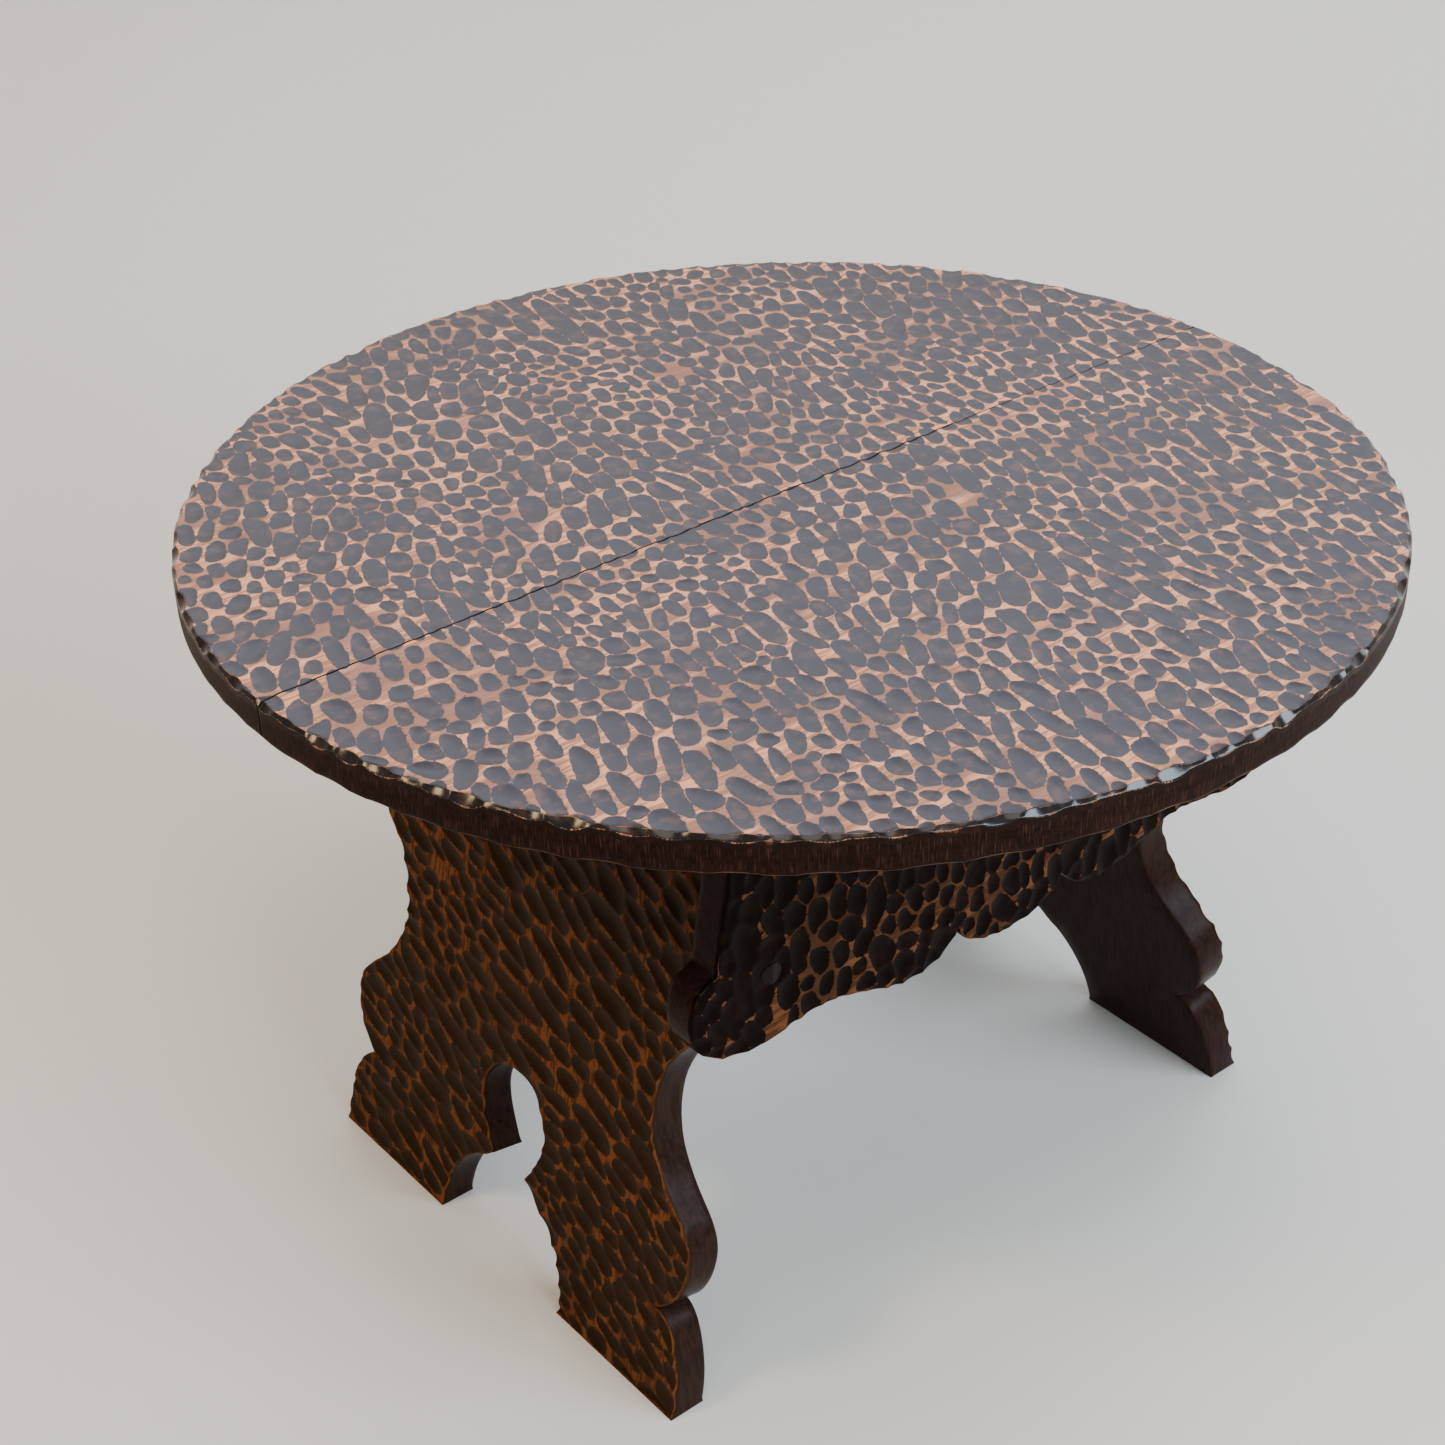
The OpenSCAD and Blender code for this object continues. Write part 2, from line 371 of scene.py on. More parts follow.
def signed_area(ring):
    """The ring's area, above 0 where it runs anticlockwise."""
    return 0.5 * np.sum(ring[:, 0] * np.roll(ring[:, 1], -1) - ring[:, 1] * np.roll(ring[:, 0], -1))


def smooth_ring(ring, spacing, corner=math.radians(28)):
    """Runs a smooth curve through the ring between its corners, with points about spacing apart."""
    if signed_area(ring) < 0:
        ring = ring[::-1]
    step = np.roll(ring, -1, 0) - ring
    ring = ring[np.hypot(*step.T) > 0.05]
    step = np.roll(ring, -1, 0) - ring
    heading = np.arctan2(step[:, 1], step[:, 0])
    turn = (heading - np.roll(heading, 1) + math.pi) % TAU - math.pi
    sharp = np.flatnonzero(np.abs(turn) > corner)
    out = []
    for start, stop in zip(sharp, np.roll(sharp, -1)):
        span = [ring[k % len(ring)] for k in range(start, stop + (len(ring) if stop <= start else 0) + 1)]
        out.append(spline(np.array(span), spacing)[:-1])
    return np.vstack(out)


def spline(points, spacing):
    """A centripetal-like curve through points, resampled evenly, both ends included."""
    if len(points) == 2:
        dense = points
    else:
        ends = [2 * points[0] - points[1], *points, 2 * points[-1] - points[-2]]
        dense = [points[0]]
        for a, b, c, d in zip(ends, ends[1:], ends[2:], ends[3:]):
            for t in np.linspace(0, 1, 9)[1:]:
                dense.append(0.5 * (2 * b + (c - a) * t + (2 * a - 5 * b + 4 * c - d) * t * t
                                    + (3 * b - a - 3 * c + d) * t ** 3))
        dense = np.array(dense)
    length = np.r_[0, np.cumsum(np.hypot(*np.diff(dense, axis=0).T))]
    count = max(int(round(length[-1] / spacing)), 1)
    at = np.linspace(0, length[-1], count + 1)
    return np.c_[np.interp(at, length, dense[:, 0]), np.interp(at, length, dense[:, 1])]


def inset(ring, distance):
    """The ring moved inwards by distance, which may differ from point to point."""
    before, after = ring - np.roll(ring, 1, 0), np.roll(ring, -1, 0) - ring
    before /= np.maximum(np.hypot(*before.T), 1e-9)[:, None]
    after /= np.maximum(np.hypot(*after.T), 1e-9)[:, None]
    along = before + after
    along /= np.maximum(np.hypot(*along.T), 0.6)[:, None]
    inward = np.c_[-along[:, 1], along[:, 0]]
    return ring + inward * np.reshape(distance, (-1, 1))


def eased(ring, distance):
    """distance for each point, less towards the ring's outward corners so that the inset ring is clean."""
    before, after = ring - np.roll(ring, 1, 0), np.roll(ring, -1, 0) - ring
    turn = np.arctan2(before[:, 0] * after[:, 1] - before[:, 1] * after[:, 0], (before * after).sum(1))
    room = np.full(len(ring), 9.0)
    for corner in ring[turn > math.radians(24)]:
        room = np.minimum(room, 0.15 + 0.42 * np.hypot(*(ring - corner).T))
    return np.minimum(distance, room)


def inside(ring, points):
    """Which points lie inside the ring."""
    x, y = points.T
    crossed = np.zeros(len(points), bool)
    for (x0, y0), (x1, y1) in zip(ring, np.roll(ring, -1, 0)):
        if y0 != y1:
            crossed ^= ((y0 > y) != (y1 > y)) & (x < (x1 - x0) * (y - y0) / (y1 - y0) + x0)
    return crossed


def fill_ring(ring, spacing, carving=None):
    """Triangulates the inside of the ring. Returns all points, the ring's own first, and the triangles."""
    low, high = ring.min(0), ring.max(0)
    rows = np.arange(low[1], high[1], spacing * 0.866)
    columns = np.arange(low[0], high[0], spacing)
    grid = np.array([(x + spacing / 2 * (j % 2), y) for j, y in enumerate(rows) for x in columns])
    grid = grid.reshape(-1, 2)
    # Points near the ring are dropped below, so every third point of a fine ring is enough here
    coarse_ring = ring if len(ring) < 500 else ring[::3]
    grid = grid[inside(coarse_ring, grid)]
    if carving is not None:
        grid = carving.snap(grid, spacing)
    tree = KDTree(len(ring))
    for i, (x, y) in enumerate(ring):
        tree.insert((x, y, 0), i)
    tree.balance()
    clear = 0.55 * min(spacing, 2.5)
    grid = grid[[tree.find((x, y, 0))[2] > clear for x, y in grid]]
    points = [Vector(p) for p in np.vstack([ring, grid]).tolist()]
    made, _, faces, origin, _, _ = delaunay_2d_cdt(points, [], [list(range(len(ring)))], 1, 1e-6)
    back = np.array([o[0] for o in origin])
    all_points = np.vstack([ring, grid])
    return all_points, [tuple(int(back[k]) for k in face) for face in faces]


class Builder:
    """Collects vertices in world coordinates, faces, and the two values that the carved wood reads."""

    def __init__(self):
        self.verts, self.rub, self.depth, self.faces, self.count = [], [], [], [], 0
        self.marks = []

    def add(self, points, rub, depth=0.0):
        """New vertices. Returns their numbers."""
        n = len(points)
        self.verts.append(np.asarray(points, float))
        self.rub.append(np.broadcast_to(rub, n).astype(float))
        self.depth.append(np.broadcast_to(depth, n).astype(float))
        self.count += n
        return np.arange(self.count - n, self.count)

    def cap(self, numbers, triangles, flip=False):
        """Triangles between vertices of the given numbers, turned over if flip is set."""
        step = -1 if flip else 1
        self.faces += [tuple(int(numbers[k]) for k in triangle[::step]) for triangle in triangles]

    def band(self, lower, upper):
        """Quads between two closed rows of vertices with the same count."""
        n = len(lower)
        for i in range(n):
            j = (i + 1) % n
            self.faces.append((int(lower[i]), int(lower[j]), int(upper[j]), int(upper[i])))

    def mark(self, material):
        """Faces from here on take the material of that number."""
        self.marks.append((len(self.faces), material))

    def object(self, name, *materials):
        """The finished object, in the scene."""
        mesh = bpy.data.meshes.new(name)
        mesh.from_pydata(np.vstack(self.verts).tolist(), [], self.faces)
        for start, material in self.marks:
            for polygon in mesh.polygons[start:]:
                polygon.material_index = material
        mesh.validate()
        for title, values in (("rub", self.rub), ("depth", self.depth)):
            layer = mesh.attributes.new(title, "FLOAT", "POINT")
            layer.data.foreach_set("value", np.concatenate(values).astype(np.float32))
        mesh.shade_smooth()
        for material in materials:
            mesh.materials.append(material)
        obj = bpy.data.objects.new(name, mesh)
        bpy.context.scene.collection.objects.link(obj)
        return obj


# The rub value says how worn a surface is: land and arrises are above 0, hollows below it
PLAIN = -3.0
RIM_SIDE = -2.6
WORN = 0.1

# The seam between the two halves of the top, in millimetres: half its gap at each x, and its eased edge
SEAM_GAP = ((-285, 0.32), (60, 0.30), (140, 0.10), (285, 0.04))
SEAM_EASE = 0.22

# Sections through an edge, from the carved face down. Each row says how far out it is as a share of the
# arris or nick, how far down (or up from the underside) on the same scale, and its rub value
ARRIS = ((0.62, 0.10, WORN), (0.25, 0.42, -0.2), (0.0, 1.0, -1.0))
BACK_ARRIS = ((0.0, 1.0), (0.3, 0.3), (1.0, 0.0))
NICK = ((0.93, 0.05, 0.0), (0.84, 0.14, -0.9), (0.50, 0.56, -1.1), (0.12, 0.98, -0.8), (0.03, 1.10, -0.2),
        (0.0, 1.25, -0.5))
RIM = ((0.08, -1.0), (0.26, RIM_SIDE), (0.6, RIM_SIDE), (0.9, RIM_SIDE))
LOWER_NICK = ((0.0, 1.05, -0.4), (0.1, 0.9, 0.3), (0.5, 0.38, -1.0), (1.0, 0.0, PLAIN))

# Least depth of the nicked arrises of the rim, in millimetres: upper and lower
LEAST_NICK = (1.5, 0.5)


def rub_of(carving, points, height):
    """How rubbed back a carved point is: 0 and up on land, falling with distance and depth in a hollow."""
    edge = carving.sample(carving.edge, points)
    return np.where(height > -0.02, edge, -0.85 * edge) + 0.35 * np.minimum(height, 0)


# ---------------------------------------------------------------- boards

def carved_board(name, node, place, thickness, carving, material, lean=0.0, arris=1.0):
    """A board whose outline comes from its CAD node, carved on its outer face and smooth elsewhere."""
    ring = smooth_ring(face_outline(node, place), LEG_FINE)
    top, bottom = ring[:, 1].max(), ring[:, 1].min()
    square_end = (ring[:, 1] > top - 0.3) | ((ring[:, 1] < bottom + 0.3) & (lean > 0))
    ease = arris * (1 + 0.25 * Drift(np.random.default_rng(len(ring)), 35)(ring))
    ease = eased(ring, np.where(square_end, 0.15, ease))
    n = len(ring)
    build = Builder()

    # Square-cut ends stay level on a leaning board, so they slide along it with depth
    slide = math.tan(lean) * (np.clip(1 - (ring[:, 1] - bottom) / 12, 0, 1)
                              + np.clip(1 - (top - ring[:, 1]) / 12, 0, 1))

    def outline(share, w):
        """The ring at depth w, moved in by a share of the arris."""
        moved = inset(ring, ease * share)
        moved[:, 1] -= slide * w
        return moved

    points, triangles = fill_ring(outline(1, 0), LEG_FINE, carving)
    height = np.minimum(carving.sample(carving.first, points), 0)
    height[:n] *= ~square_end
    rub = rub_of(carving, points, height)
    sunk = height[:n]
    face = build.add(place.to_world(np.c_[points, height]), rub, -height)
    build.cap(face, triangles)

    last = face[:n]
    for share, down, shade in ARRIS:
        w = sunk - ease * down
        row = build.add(place.to_world(np.c_[outline(share, w), w]), np.where(square_end, PLAIN, shade))
        build.band(row, last)
        last = row
    for down in np.linspace(0.2, 0.8, 4) * thickness:
        row = build.add(place.to_world(np.c_[outline(0, -down), np.full(n, -down)]), PLAIN)
        build.band(row, last)
        last = row
    for share, up in BACK_ARRIS:
        w = ease * up - thickness
        back = outline(share, w)
        row = build.add(place.to_world(np.c_[back, w]), PLAIN)
        build.band(row, last)
        last = row
    points, triangles = fill_ring(back, COARSE)
    extra = build.add(place.to_world(np.c_[points[n:], np.full(len(points) - n, -thickness)]), PLAIN)
    build.cap(np.r_[last, extra], triangles, flip=True)
    obj = build.object(name, material)
    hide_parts(node)
    return obj


def rim_nicks(rng, count, width, depth):
    """Angles, half widths and depths of the gouge nicks round an arris of the rim."""
    pitch = TAU / count
    angles = (np.arange(count) + rng.uniform(-0.25, 0.25, count)) * pitch
    half = width / 2 * rng.uniform(0.85, 1.2, count)
    return np.c_[angles, half, depth * rng.uniform(0.6, 1.25, count)]


def nick_depth(nicks, angle, radius, least):
    """How far the nicks bite into the arris at each angle."""
    bite = np.full(len(angle), least, float)
    for centre, half, depth in nicks:
        off = ((angle - centre + math.pi) % TAU - math.pi) * radius / half
        bite = np.maximum(bite, depth * (1 - off ** 2))
    return bite


class HalfDisc:
    """The outline of one half of the round top: an arc, then the straight seam back to its start."""

    def __init__(self, side, radius, spacing):
        steps = int(math.pi * radius / spacing)
        self.side = side
        self.angle = math.pi * np.arange(steps + 1) / steps + (math.pi if side < 0 else 0)
        self.outward = np.c_[np.cos(self.angle), np.sin(self.angle)]
        self.seam_x = side * np.linspace(-radius, radius, int(2 * radius / spacing) + 1)[2:-2]

    def ring(self, reach, seam):
        """The outline at the given reach from the centre and the given distance back from the seam."""
        arc = self.outward * np.reshape(reach, (-1, 1))
        seam_arc = np.interp(arc[:, 0], *self.ordered(seam))
        arc[:, 1] = self.side * np.maximum(self.side * arc[:, 1], seam_arc)
        return np.vstack([arc, np.c_[self.seam_x, self.side * seam]])

    def ordered(self, seam):
        """The seam's x and the given values along it, with x rising."""
        return (self.seam_x, seam) if self.side > 0 else (self.seam_x[::-1], seam[::-1])

    def levels(self, arc, seam):
        """Heights for the arc and for the seam, as one row."""
        return np.r_[np.broadcast_to(arc, len(self.angle)), np.broadcast_to(seam, len(self.seam_x))]


def top_board(name, node, side, radius, low, high, carving, upper, lower, materials):
    """Half of the round top: carved above, nicked round the rim, plain below, with an eased seam.

    materials are those of the carved face and underside, of the nicks and of the rim's side."""
    half = HalfDisc(side, radius, FINE)
    bite_up = nick_depth(upper, half.angle, radius, LEAST_NICK[0])
    bite_down = nick_depth(lower, half.angle, radius, LEAST_NICK[1])
    gap = np.interp(half.seam_x, *zip(*SEAM_GAP))
    ease = np.full(len(gap), SEAM_EASE)
    m = len(half.angle)
    build = Builder()

    points, triangles = fill_ring(half.ring(radius - bite_up, gap + ease), FINE, carving)
    height = np.minimum(carving.sample(carving.first, points), 0)
    n = m + len(gap)
    face = build.add(np.c_[points, high + height] * MM, rub_of(carving, points, height), -height)
    build.cap(face, triangles)
    last = face[:n]

    def add_row(reach, seam, arc_z, seam_z, arc_shade, seam_shade):
        """The next row of the edge, joined to the last one."""
        ring = np.c_[half.ring(reach, seam), half.levels(arc_z, seam_z)]
        row = build.add(ring * MM, half.levels(arc_shade, seam_shade))
        build.band(row, last)
        return row

    # Each nick: its crisp upper edge, its hollow, its crisp lower edge
    build.mark(1)
    sunk_arc, sunk_seam = height[:m], height[m:n]
    for back, drop, shade in NICK:
        settle_share = max(1 - drop, 0)
        last = add_row(radius - bite_up * back, gap + ease * back,
                       high + sunk_arc * settle_share - bite_up * drop,
                       high + sunk_seam - ease * min(drop, 1), shade, -1.2)
    build.mark(2)
    top_z, bottom_z = high - bite_up * 1.22, low + bite_down
    seam_top = high - 1.5
    for part, shade in RIM:
        last = add_row(np.full(m, radius), gap, top_z * (1 - part) + bottom_z * part,
                       seam_top * (1 - part) + low * part, shade, PLAIN)
    for back, up, shade in LOWER_NICK:
        last = add_row(radius - bite_down * back, gap, low + bite_down * up, low + 0.2 * up, shade, PLAIN)
    build.mark(0)
    under, triangles = fill_ring(half.ring(radius - bite_down, gap), COARSE)
    extra = build.add(np.c_[under[n:], np.full(len(under) - n, low)] * MM, PLAIN)
    build.cap(np.r_[last, extra], triangles, flip=True)
    obj = build.object(name, *materials)
    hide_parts(node)
    return obj


# ---------------------------------------------------------------- materials

class Nodes:
    """Short calls for building one material's node tree."""

    def __init__(self, name):
        self.material = bpy.data.materials.new(name)
        self.material.use_nodes = True
        self.tree = self.material.node_tree
        self.shader = self.tree.nodes["Principled BSDF"]

    def put(self, socket, value):
        """Links or sets a socket."""
        if isinstance(value, bpy.types.NodeSocket):
            self.tree.links.new(value, socket)
        else:
            socket.default_value = value

    def math(self, operation, a, b=0.0, c=0.0):
        """One arithmetic node on up to three values."""
        made = self.tree.nodes.new("ShaderNodeMath")
        made.operation = operation
        for socket, value in zip(made.inputs, (a, b, c)):
            self.put(socket, value)
        return made.outputs[0]

    def attribute(self, name):
        """A value stored on the mesh's points."""
        made = self.tree.nodes.new("ShaderNodeAttribute")
        made.attribute_name = name
        return made.outputs["Fac"]

    def place(self, scale, rotate=(0, 0, 0)):
        """Object coordinates, turned and stretched."""
        made = self.tree.nodes.new("ShaderNodeMapping")
        made.inputs["Rotation"].default_value = rotate
        made.inputs["Scale"].default_value = scale
        self.put(made.inputs["Vector"], self.tree.nodes.new("ShaderNodeTexCoord").outputs["Object"])
        return made.outputs[0]

    def noise(self, vector, scale, detail, roughness):
        """Cloudy noise, about 0.5 on average."""
        made = self.tree.nodes.new("ShaderNodeTexNoise")
        made.inputs["Scale"].default_value = scale
        made.inputs["Detail"].default_value = detail
        made.inputs["Roughness"].default_value = roughness
        self.put(made.inputs["Vector"], vector)
        return made.outputs["Fac"]

    def rim_streaks(self):
        """Fine upright streaks round the rim of the top."""
        split = self.tree.nodes.new("ShaderNodeSeparateXYZ")
        self.put(split.inputs[0], self.place((1, 1, 1)))
        x, y, z = split.outputs
        join = self.tree.nodes.new("ShaderNodeCombineXYZ")
        self.put(join.inputs[0], self.math("MULTIPLY", self.math("ARCTAN2", y, x), 420))
        self.put(join.inputs[1], self.math("MULTIPLY", z, 90))
        return self.noise(join.outputs[0], 1.0, 3.0, 0.6)

    def step(self, value, low, high):
        """A smooth step from 0 at low to 1 at high."""
        made = self.tree.nodes.new("ShaderNodeMapRange")
        made.interpolation_type = "SMOOTHSTEP"
        self.put(made.inputs["Value"], value)
        made.inputs["From Min"].default_value = low
        made.inputs["From Max"].default_value = high
        return made.outputs["Result"]

    def mix(self, share, a, b):
        """Colour a, going over to colour b by share."""
        made = self.tree.nodes.new("ShaderNodeMix")
        made.data_type = "RGBA"
        self.put(made.inputs[0], share)
        for socket, value in zip((made.inputs[6], made.inputs[7]), (a, b)):
            self.put(socket, (*value, 1) if isinstance(value, tuple) else value)
        return made.outputs[2]

    def bump(self, height, strength, distance):
        """A normal tilted by a height field; distance is in metres."""
        made = self.tree.nodes.new("ShaderNodeBump")
        made.inputs["Strength"].default_value = strength
        made.inputs["Distance"].default_value = distance
        self.put(made.inputs["Height"], height)
        return made.outputs[0]


def darker(colour, share):
    """The colour, with each channel scaled by share."""
    return tuple(share * c for c in colour)


def grain(n, along):
    """Fine fibres and broader bands, drawn out along the named axis."""
    across, lengthwise = 430, 32
    scale = [across, across, across]
    scale["XYZ".index(along)] = lengthwise
    fibres = n.noise(n.place(tuple(scale)), 1.0, 3.0, 0.6)
    bands = n.noise(n.place(tuple(0.2 * k for k in scale)), 1.0, 3.0, 0.5)
    return fibres, bands


def bare_share(n, rub, fibres, patches, blotches, streaks, wear, soft, patchy):
    """How bare the wood is. The rubbed edge comes and goes, and frays along the grain, in places more."""
    waver = n.math("MULTIPLY_ADD", blotches, 1.4, -0.7)
    ragged = n.math("MULTIPLY_ADD", n.step(patches, 0.5, 0.68), 3.0, 1.2)
    fray = n.math("MULTIPLY", n.math("SUBTRACT", fibres, 0.5), ragged)
    level = n.math("ADD", n.math("ADD", rub, waver), fray)
    level = n.math("MULTIPLY_ADD", n.math("SUBTRACT", patches, 0.5), patchy, level)
    if streaks is not None:
        level = n.math("ADD", level, n.math("MULTIPLY_ADD", streaks, 1.8, -0.9))
    return n.step(level, -wear - soft, soft - wear)


def carved_wood(name, land, dull_land, hollow, plain, along, shine, wear, soft=0.16, gloss=0.5, patchy=0.0,
                rim=False):
    """Dark-stained carved wood, rubbed back to lighter wood where the surface stands highest.

    along is the axis that the grain follows, wear moves the rubbed edge out into the hollows, soft is how
    gently it fades and patchy how far it comes and goes from place to place. rim adds upright streaks."""
    n = Nodes(name)
    rub, depth = n.attribute("rub"), n.attribute("depth")
    fibres, bands = grain(n, along)
    even = n.place((1, 1, 1))
    patches = n.noise(even, 21.0, 2.0, 0.5)
    blotches = n.noise(even, 120.0, 3.0, 0.6)
    grit = n.noise(even, 1500.0, 2.0, 0.6)
    streaks = n.rim_streaks() if rim else None
    bare = bare_share(n, rub, fibres, patches, blotches, streaks, wear, soft, patchy)

    # Bare wood: banded, dulled in patches, with dark pores. Stained wood: the hollow colour, dark, with a
    # thin film of wear; on the top that colour also holds a painted reflection, and on the aprons a painted
    # shade
    pores = n.step(fibres, 0.49, 0.56)
    stain = n.step(n.math("ADD", patches, n.math("MULTIPLY", bands, 0.6)), 0.76, 0.94)
    wood = n.mix(bands, land, darker(land, 0.8))
    wood = n.mix(n.math("MULTIPLY", stain, 0.85), wood, dull_land)
    wood = n.mix(n.math("MULTIPLY", pores, 0.8), wood, darker(land, 0.33))
    film = tuple(0.9 * h + 0.06 * c for h, c in zip(hollow, land))
    dark = n.mix(n.step(blotches, 0.48, 0.72), hollow, film)
    smooth = n.mix(n.step(fibres, 0.3, 0.8), plain, darker(plain, 0.45))
    if rim:
        smooth = n.mix(n.step(streaks, 0.50, 0.72), smooth, darker(plain, 3.2))
    is_carved = n.math("MAXIMUM", n.step(rub, -2.3, -1.7), n.step(depth, 0.02, 0.12))
    n.put(n.shader.inputs["Base Color"], n.mix(is_carved, smooth, n.mix(bare, dark, wood)))

    # Stained wood that isn't in a hollow is the shiniest, and bare wood the dullest
    polished = n.math("MULTIPLY", n.step(depth, 0.12, 0.02), n.math("SUBTRACT", 1.0, bare))
    if rim:
        polished = n.math("MULTIPLY", polished, is_carved)
    rough = n.math("MULTIPLY_ADD", n.math("MULTIPLY", bare, is_carved), 0.28, shine - 0.06)
    rough = n.math("MULTIPLY_ADD", polished, -0.17, n.math("MULTIPLY_ADD", grit, 0.12, rough))
    n.put(n.shader.inputs["Roughness"], rough)
    n.shader.inputs["Specular IOR Level"].default_value = gloss
    relief = n.math("MULTIPLY_ADD", n.math("MULTIPLY", pores, bare), -1.0, n.math("MULTIPLY", grit, 0.3))
    n.put(n.shader.inputs["Normal"], n.bump(relief, 0.6, 0.00012))
    return n.material


def plain_wood(name, colour, grain_scale, roughness, gloss=0.5):
    """Sawn or turned wood with a straight grain."""
    n = Nodes(name)
    n.shader.inputs["Specular IOR Level"].default_value = gloss
    fibres = n.noise(n.place(grain_scale), 1.0, 4.0, 0.6)
    wear = n.noise(n.place((1, 1, 1)), 60.0, 3.0, 0.6)
    shade = n.mix(n.step(fibres, 0.35, 0.7), colour, darker(colour, 0.5))
    shade = n.mix(n.step(wear, 0.5, 0.8), shade, darker(colour, 0.7))
    n.put(n.shader.inputs["Base Color"], shade)
    n.put(n.shader.inputs["Roughness"], n.math("MULTIPLY_ADD", fibres, 0.2, roughness))
    n.put(n.shader.inputs["Normal"], n.bump(fibres, 0.4, 0.0003))
    return n.material


def aged_steel(name):
    """Dull screw steel, browned in patches."""
    n = Nodes(name)
    tarnish = n.noise(n.place((1, 1, 1)), 420.0, 4.0, 0.6)
    bright, brown = (0.33, 0.31, 0.29), (0.13, 0.07, 0.04)
    n.put(n.shader.inputs["Base Color"], n.mix(n.step(tarnish, 0.4, 0.7), bright, brown))
    n.put(n.shader.inputs["Roughness"], n.math("MULTIPLY_ADD", tarnish, 0.4, 0.25))
    n.shader.inputs["Metallic"].default_value = 1.0
    n.put(n.shader.inputs["Normal"], n.bump(tarnish, 0.3, 0.0001))
    return n.material


# ---------------------------------------------------------------- the table

LEG_LEAN = math.radians(10.3)
LEG_THICKNESS = 19.0


def ride_and_slot(obj):
    """Every piece rides on the table's one body."""
    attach(obj, "root")


def give_material(node, material):
    """A new finish for a CAD node whose shape stays."""
    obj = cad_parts[node]
    obj.data.materials.clear()
    obj.data.materials.append(material)


def build_top(*materials):
    """Both halves of the top, under one pattern of carving."""
    low, high = (np.array(corner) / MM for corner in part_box("top_board_front"))
    radius = -low[1]
    carving = carve(11, (-radius, -radius), (radius, radius), width=9.7, stretch=(1.4, 2.6), angle=71,
                    spread=16, depth=0.7, tries=20000, fill=0.91)
    rng = np.random.default_rng(5)
    upper = rim_nicks(rng, 88, 21.5, 3.2)
    lower = rim_nicks(rng, 70, 24.0, 1.5)
    for side, word in ((-1, "front"), (1, "back")):
        board = top_board(f"top_{word}_carved", f"top_board_{word}", side, radius, low[2], high[2],
                          carving, upper, lower, materials)
        ride_and_slot(board)


def build_legs(material):
    """Both slab legs. Each one's own frame runs across it, up its slope and out of its outer face."""
    for side, word in ((-1, "left"), (1, "right")):
        low, high = (np.array(corner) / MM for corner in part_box(f"leg_{word}"))
        foot = max(abs(low[0]), abs(high[0]))
        up_slope = (-side * math.sin(LEG_LEAN), 0, math.cos(LEG_LEAN))
        place = Place((side * foot, 0, 0), (0, side, 0), up_slope)
        length = high[2] / math.cos(LEG_LEAN)
        carving = carve(20 + side, (low[1], 0), (high[1], length), width=10, stretch=(1.8, 2.9),
                        angle=-21, spread=15, depth=1.3, tries=8000, fill=0.90)
        leg = carved_board(f"leg_{word}_carved", f"leg_{word}", place, LEG_THICKNESS, carving, material,
                           LEG_LEAN, arris=1.4)
        ride_and_slot(leg)


def loose_centres(node):
    """The centre of each separate solid of a CAD node, in millimetres."""
    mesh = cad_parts[node].data
    names = {}
    spots = [names.setdefault(tuple(round(c / MM, 1) for c in v.co), len(names)) for v in mesh.vertices]
    parent = list(range(len(names)))

    def root(i):
        while parent[i] != i:
            parent[i] = parent[parent[i]]
            i = parent[i]
        return i

    for edge in mesh.edges:
        parent[root(spots[edge.vertices[0]])] = root(spots[edge.vertices[1]])
    groups = {}
    for point, spot in names.items():
        groups.setdefault(root(spot), []).append(point)
    return [(np.min(group, 0) + np.max(group, 0)) / 2 for group in groups.values()]


def carved_plugs(name, place, centres, carving, material):
    """The wooden plugs over an apron's screws, carved over together with it."""
    sides = 32
    build = Builder()
    turn = TAU * np.arange(sides) / sides
    for centre in centres:
        rings = [centre + np.c_[np.cos(turn), np.sin(turn)] * reach for reach in (5.1, 5.5, 5.6)]
        points, triangles = fill_ring(rings[0], LEG_FINE, carving)
        height = np.minimum(carving.sample(carving.first, points), 0)
        dome = 0.30 - 0.008 * ((points - centre) ** 2).sum(1)
        face = build.add(place.to_world(np.c_[points, np.minimum(height + dome, -0.02)]), 0)
        build.cap(face, triangles)
        last = face[:sides]
        for ring, drop in zip(rings[1:], (0.25, 5.0)):
            w = height[:sides] - drop
            row = build.add(place.to_world(np.c_[ring, w]), 0)
            build.band(row, last)
            last = row
        build.faces.append(tuple(int(k) for k in last[::-1]))
    obj = build.object(name, material)
    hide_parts("apron_screw_plugs")
    ride_and_slot(obj)


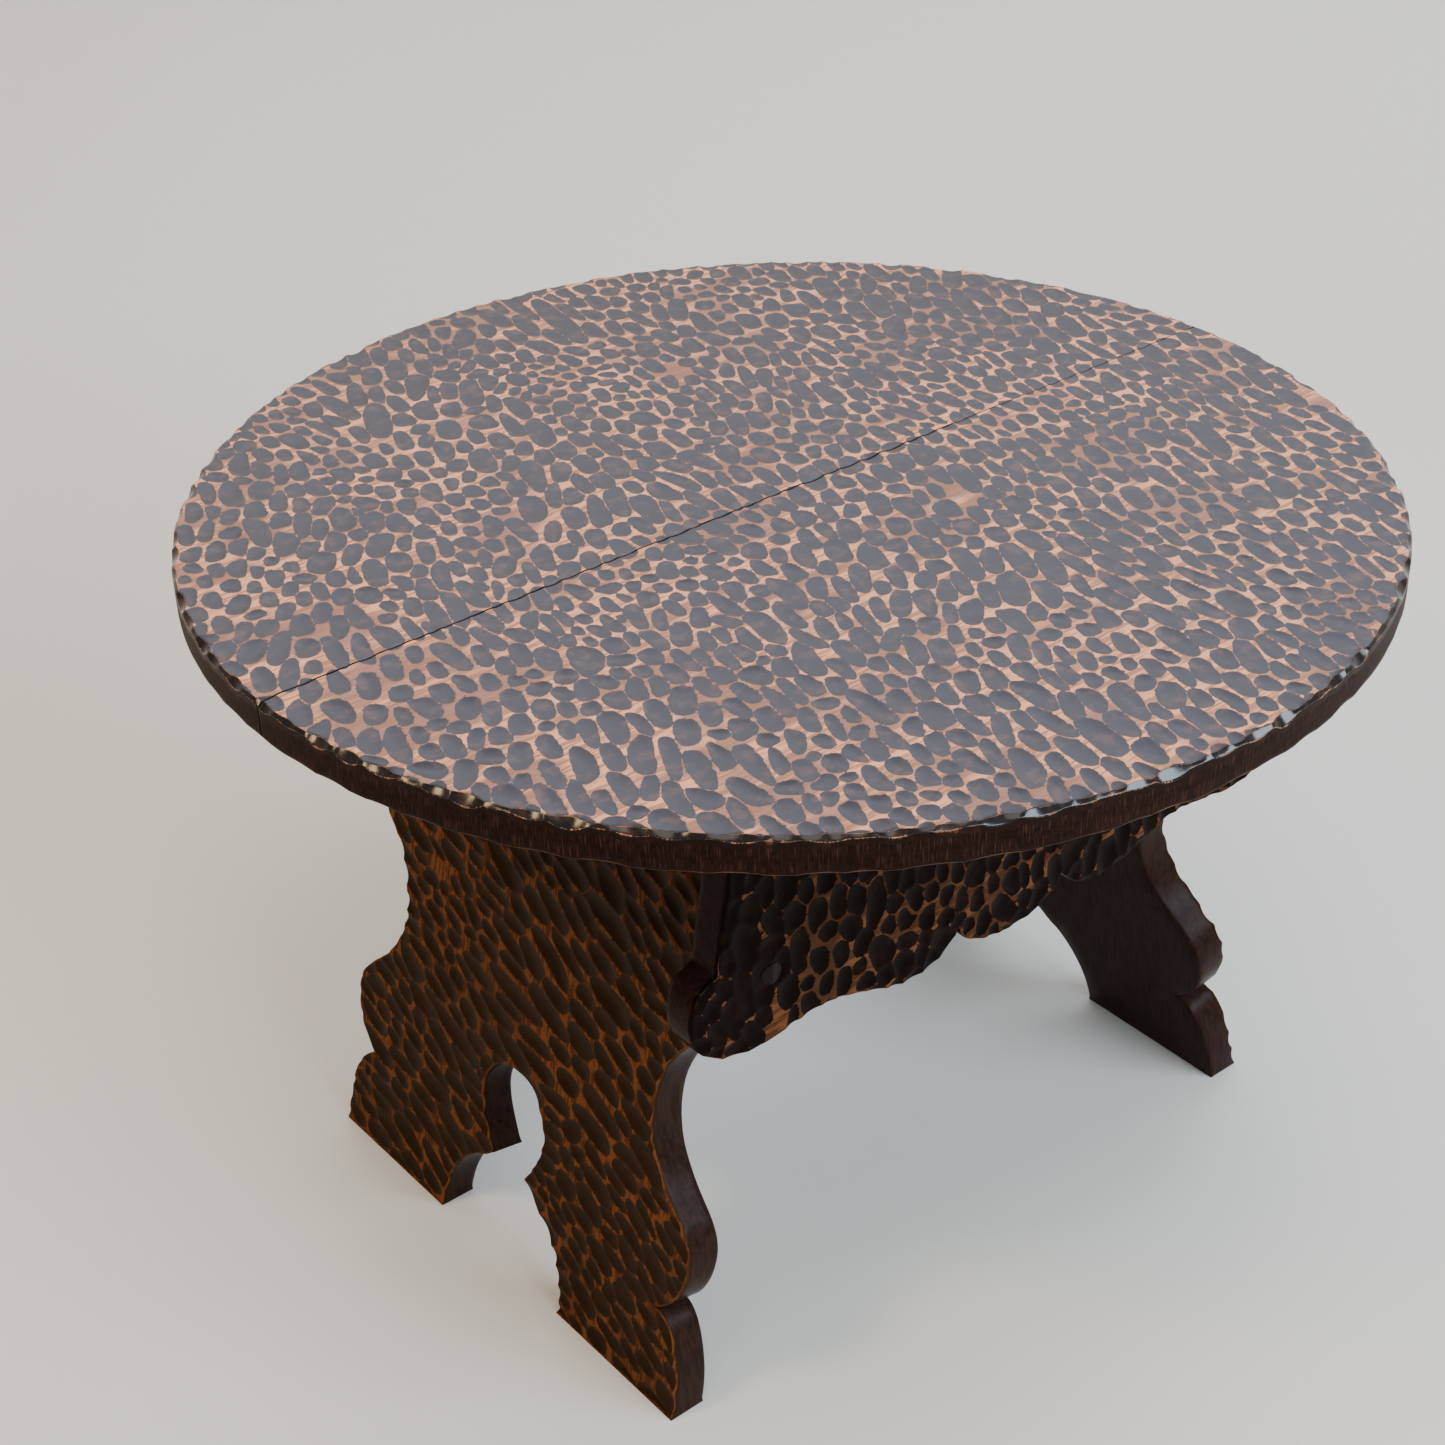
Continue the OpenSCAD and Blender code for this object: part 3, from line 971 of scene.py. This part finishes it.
def build_aprons(material, plug_material):
    """Both aprons, each with its own plugs."""
    for side, word in ((-1, "front"), (1, "back")):
        low, high = (np.array(corner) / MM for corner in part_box(f"apron_{word}"))
        face = low[1] if side < 0 else high[1]
        place = Place((0, face, 0), (-side, 0, 0), (0, 0, 1))
        centres = loose_centres("apron_screw_plugs")
        plugs = [np.array([-side * x, z]) for x, y, z in centres if y * side > 0]
        carving = carve(30 + side, (low[0], low[2]), (high[0], high[2]), width=10.5, stretch=(1.15, 2.0),
                        angle=98, spread=20, depth=1.15, tries=6000, fill=0.97, plugs=plugs)
        apron = carved_board(f"apron_{word}_carved", f"apron_{word}", place, high[1] - low[1],
                             carving, material, arris=1.3)
        ride_and_slot(apron)
        carved_plugs(f"plugs_{word}", place, plugs, carving, plug_material)


def finish_cad_nodes():
    """Finishes for the blocks, dowels and screws, which keep their CAD shapes."""
    block = plain_wood("block_wood", (0.16, 0.085, 0.045), (40, 40, 400), 0.55)
    dowel = plain_wood("dowel_wood", (0.42, 0.28, 0.16), (500, 40, 500), 0.5)
    steel = aged_steel("screw_steel")
    for kind in ("leg", "apron"):
        for k in range(1, 5):
            give_material(f"{kind}_block_{k}", block)
    give_material("seam_dowels", dowel)
    give_material("apron_screws", steel)
    give_material("block_screws", steel)


add_camera()
add_lights()
add_stage()
# The top's hollow colour is lifted and tinted blue-grey over its dark stain: a painted reflection of the
# pale wall and window, which the thin film in the hollows takes on as well.
build_top(
    carved_wood("top_wood", land=(0.94, 0.42, 0.24), dull_land=(0.27, 0.135, 0.115),
                hollow=(0.026, 0.024, 0.038), plain=(0.026, 0.013, 0.010), along="X",
                shine=0.42, wear=0.46, soft=0.20),
    carved_wood("nick_wood", land=(0.60, 0.27, 0.14), dull_land=(0.16, 0.07, 0.05),
                hollow=(0.010, 0.008, 0.009), plain=(0.024, 0.011, 0.008), along="X",
                shine=0.34, wear=0.20, gloss=0.4, rim=True),
    carved_wood("rim_wood", land=(0.26, 0.11, 0.06), dull_land=(0.12, 0.05, 0.035),
                hollow=(0.016, 0.008, 0.006), plain=(0.019, 0.008, 0.006), along="X",
                shine=0.50, wear=0.20, gloss=0.03, rim=True))
build_legs(
    carved_wood("leg_wood", land=(0.17, 0.057, 0.019), dull_land=(0.11, 0.038, 0.015),
                hollow=(0.024, 0.012, 0.005), plain=(0.032, 0.016, 0.012), along="Z",
                shine=0.46, wear=0.45, soft=0.36, gloss=0.04))
# The aprons' hollow and dull-land colours are far darker than the legs' same stain: painted shade for the
# shade under the top, on top of the real dark stain.
build_aprons(
    carved_wood("apron_wood", land=(0.15, 0.058, 0.024), dull_land=(0.05, 0.020, 0.010),
                hollow=(0.0045, 0.002, 0.0015), plain=(0.022, 0.010, 0.010), along="X",
                shine=0.40, wear=0.30, gloss=0.025, patchy=7.0),
    plain_wood("plug_wood", (0.010, 0.006, 0.004), (700, 700, 700), 0.34, gloss=0.08))
finish_cad_nodes()
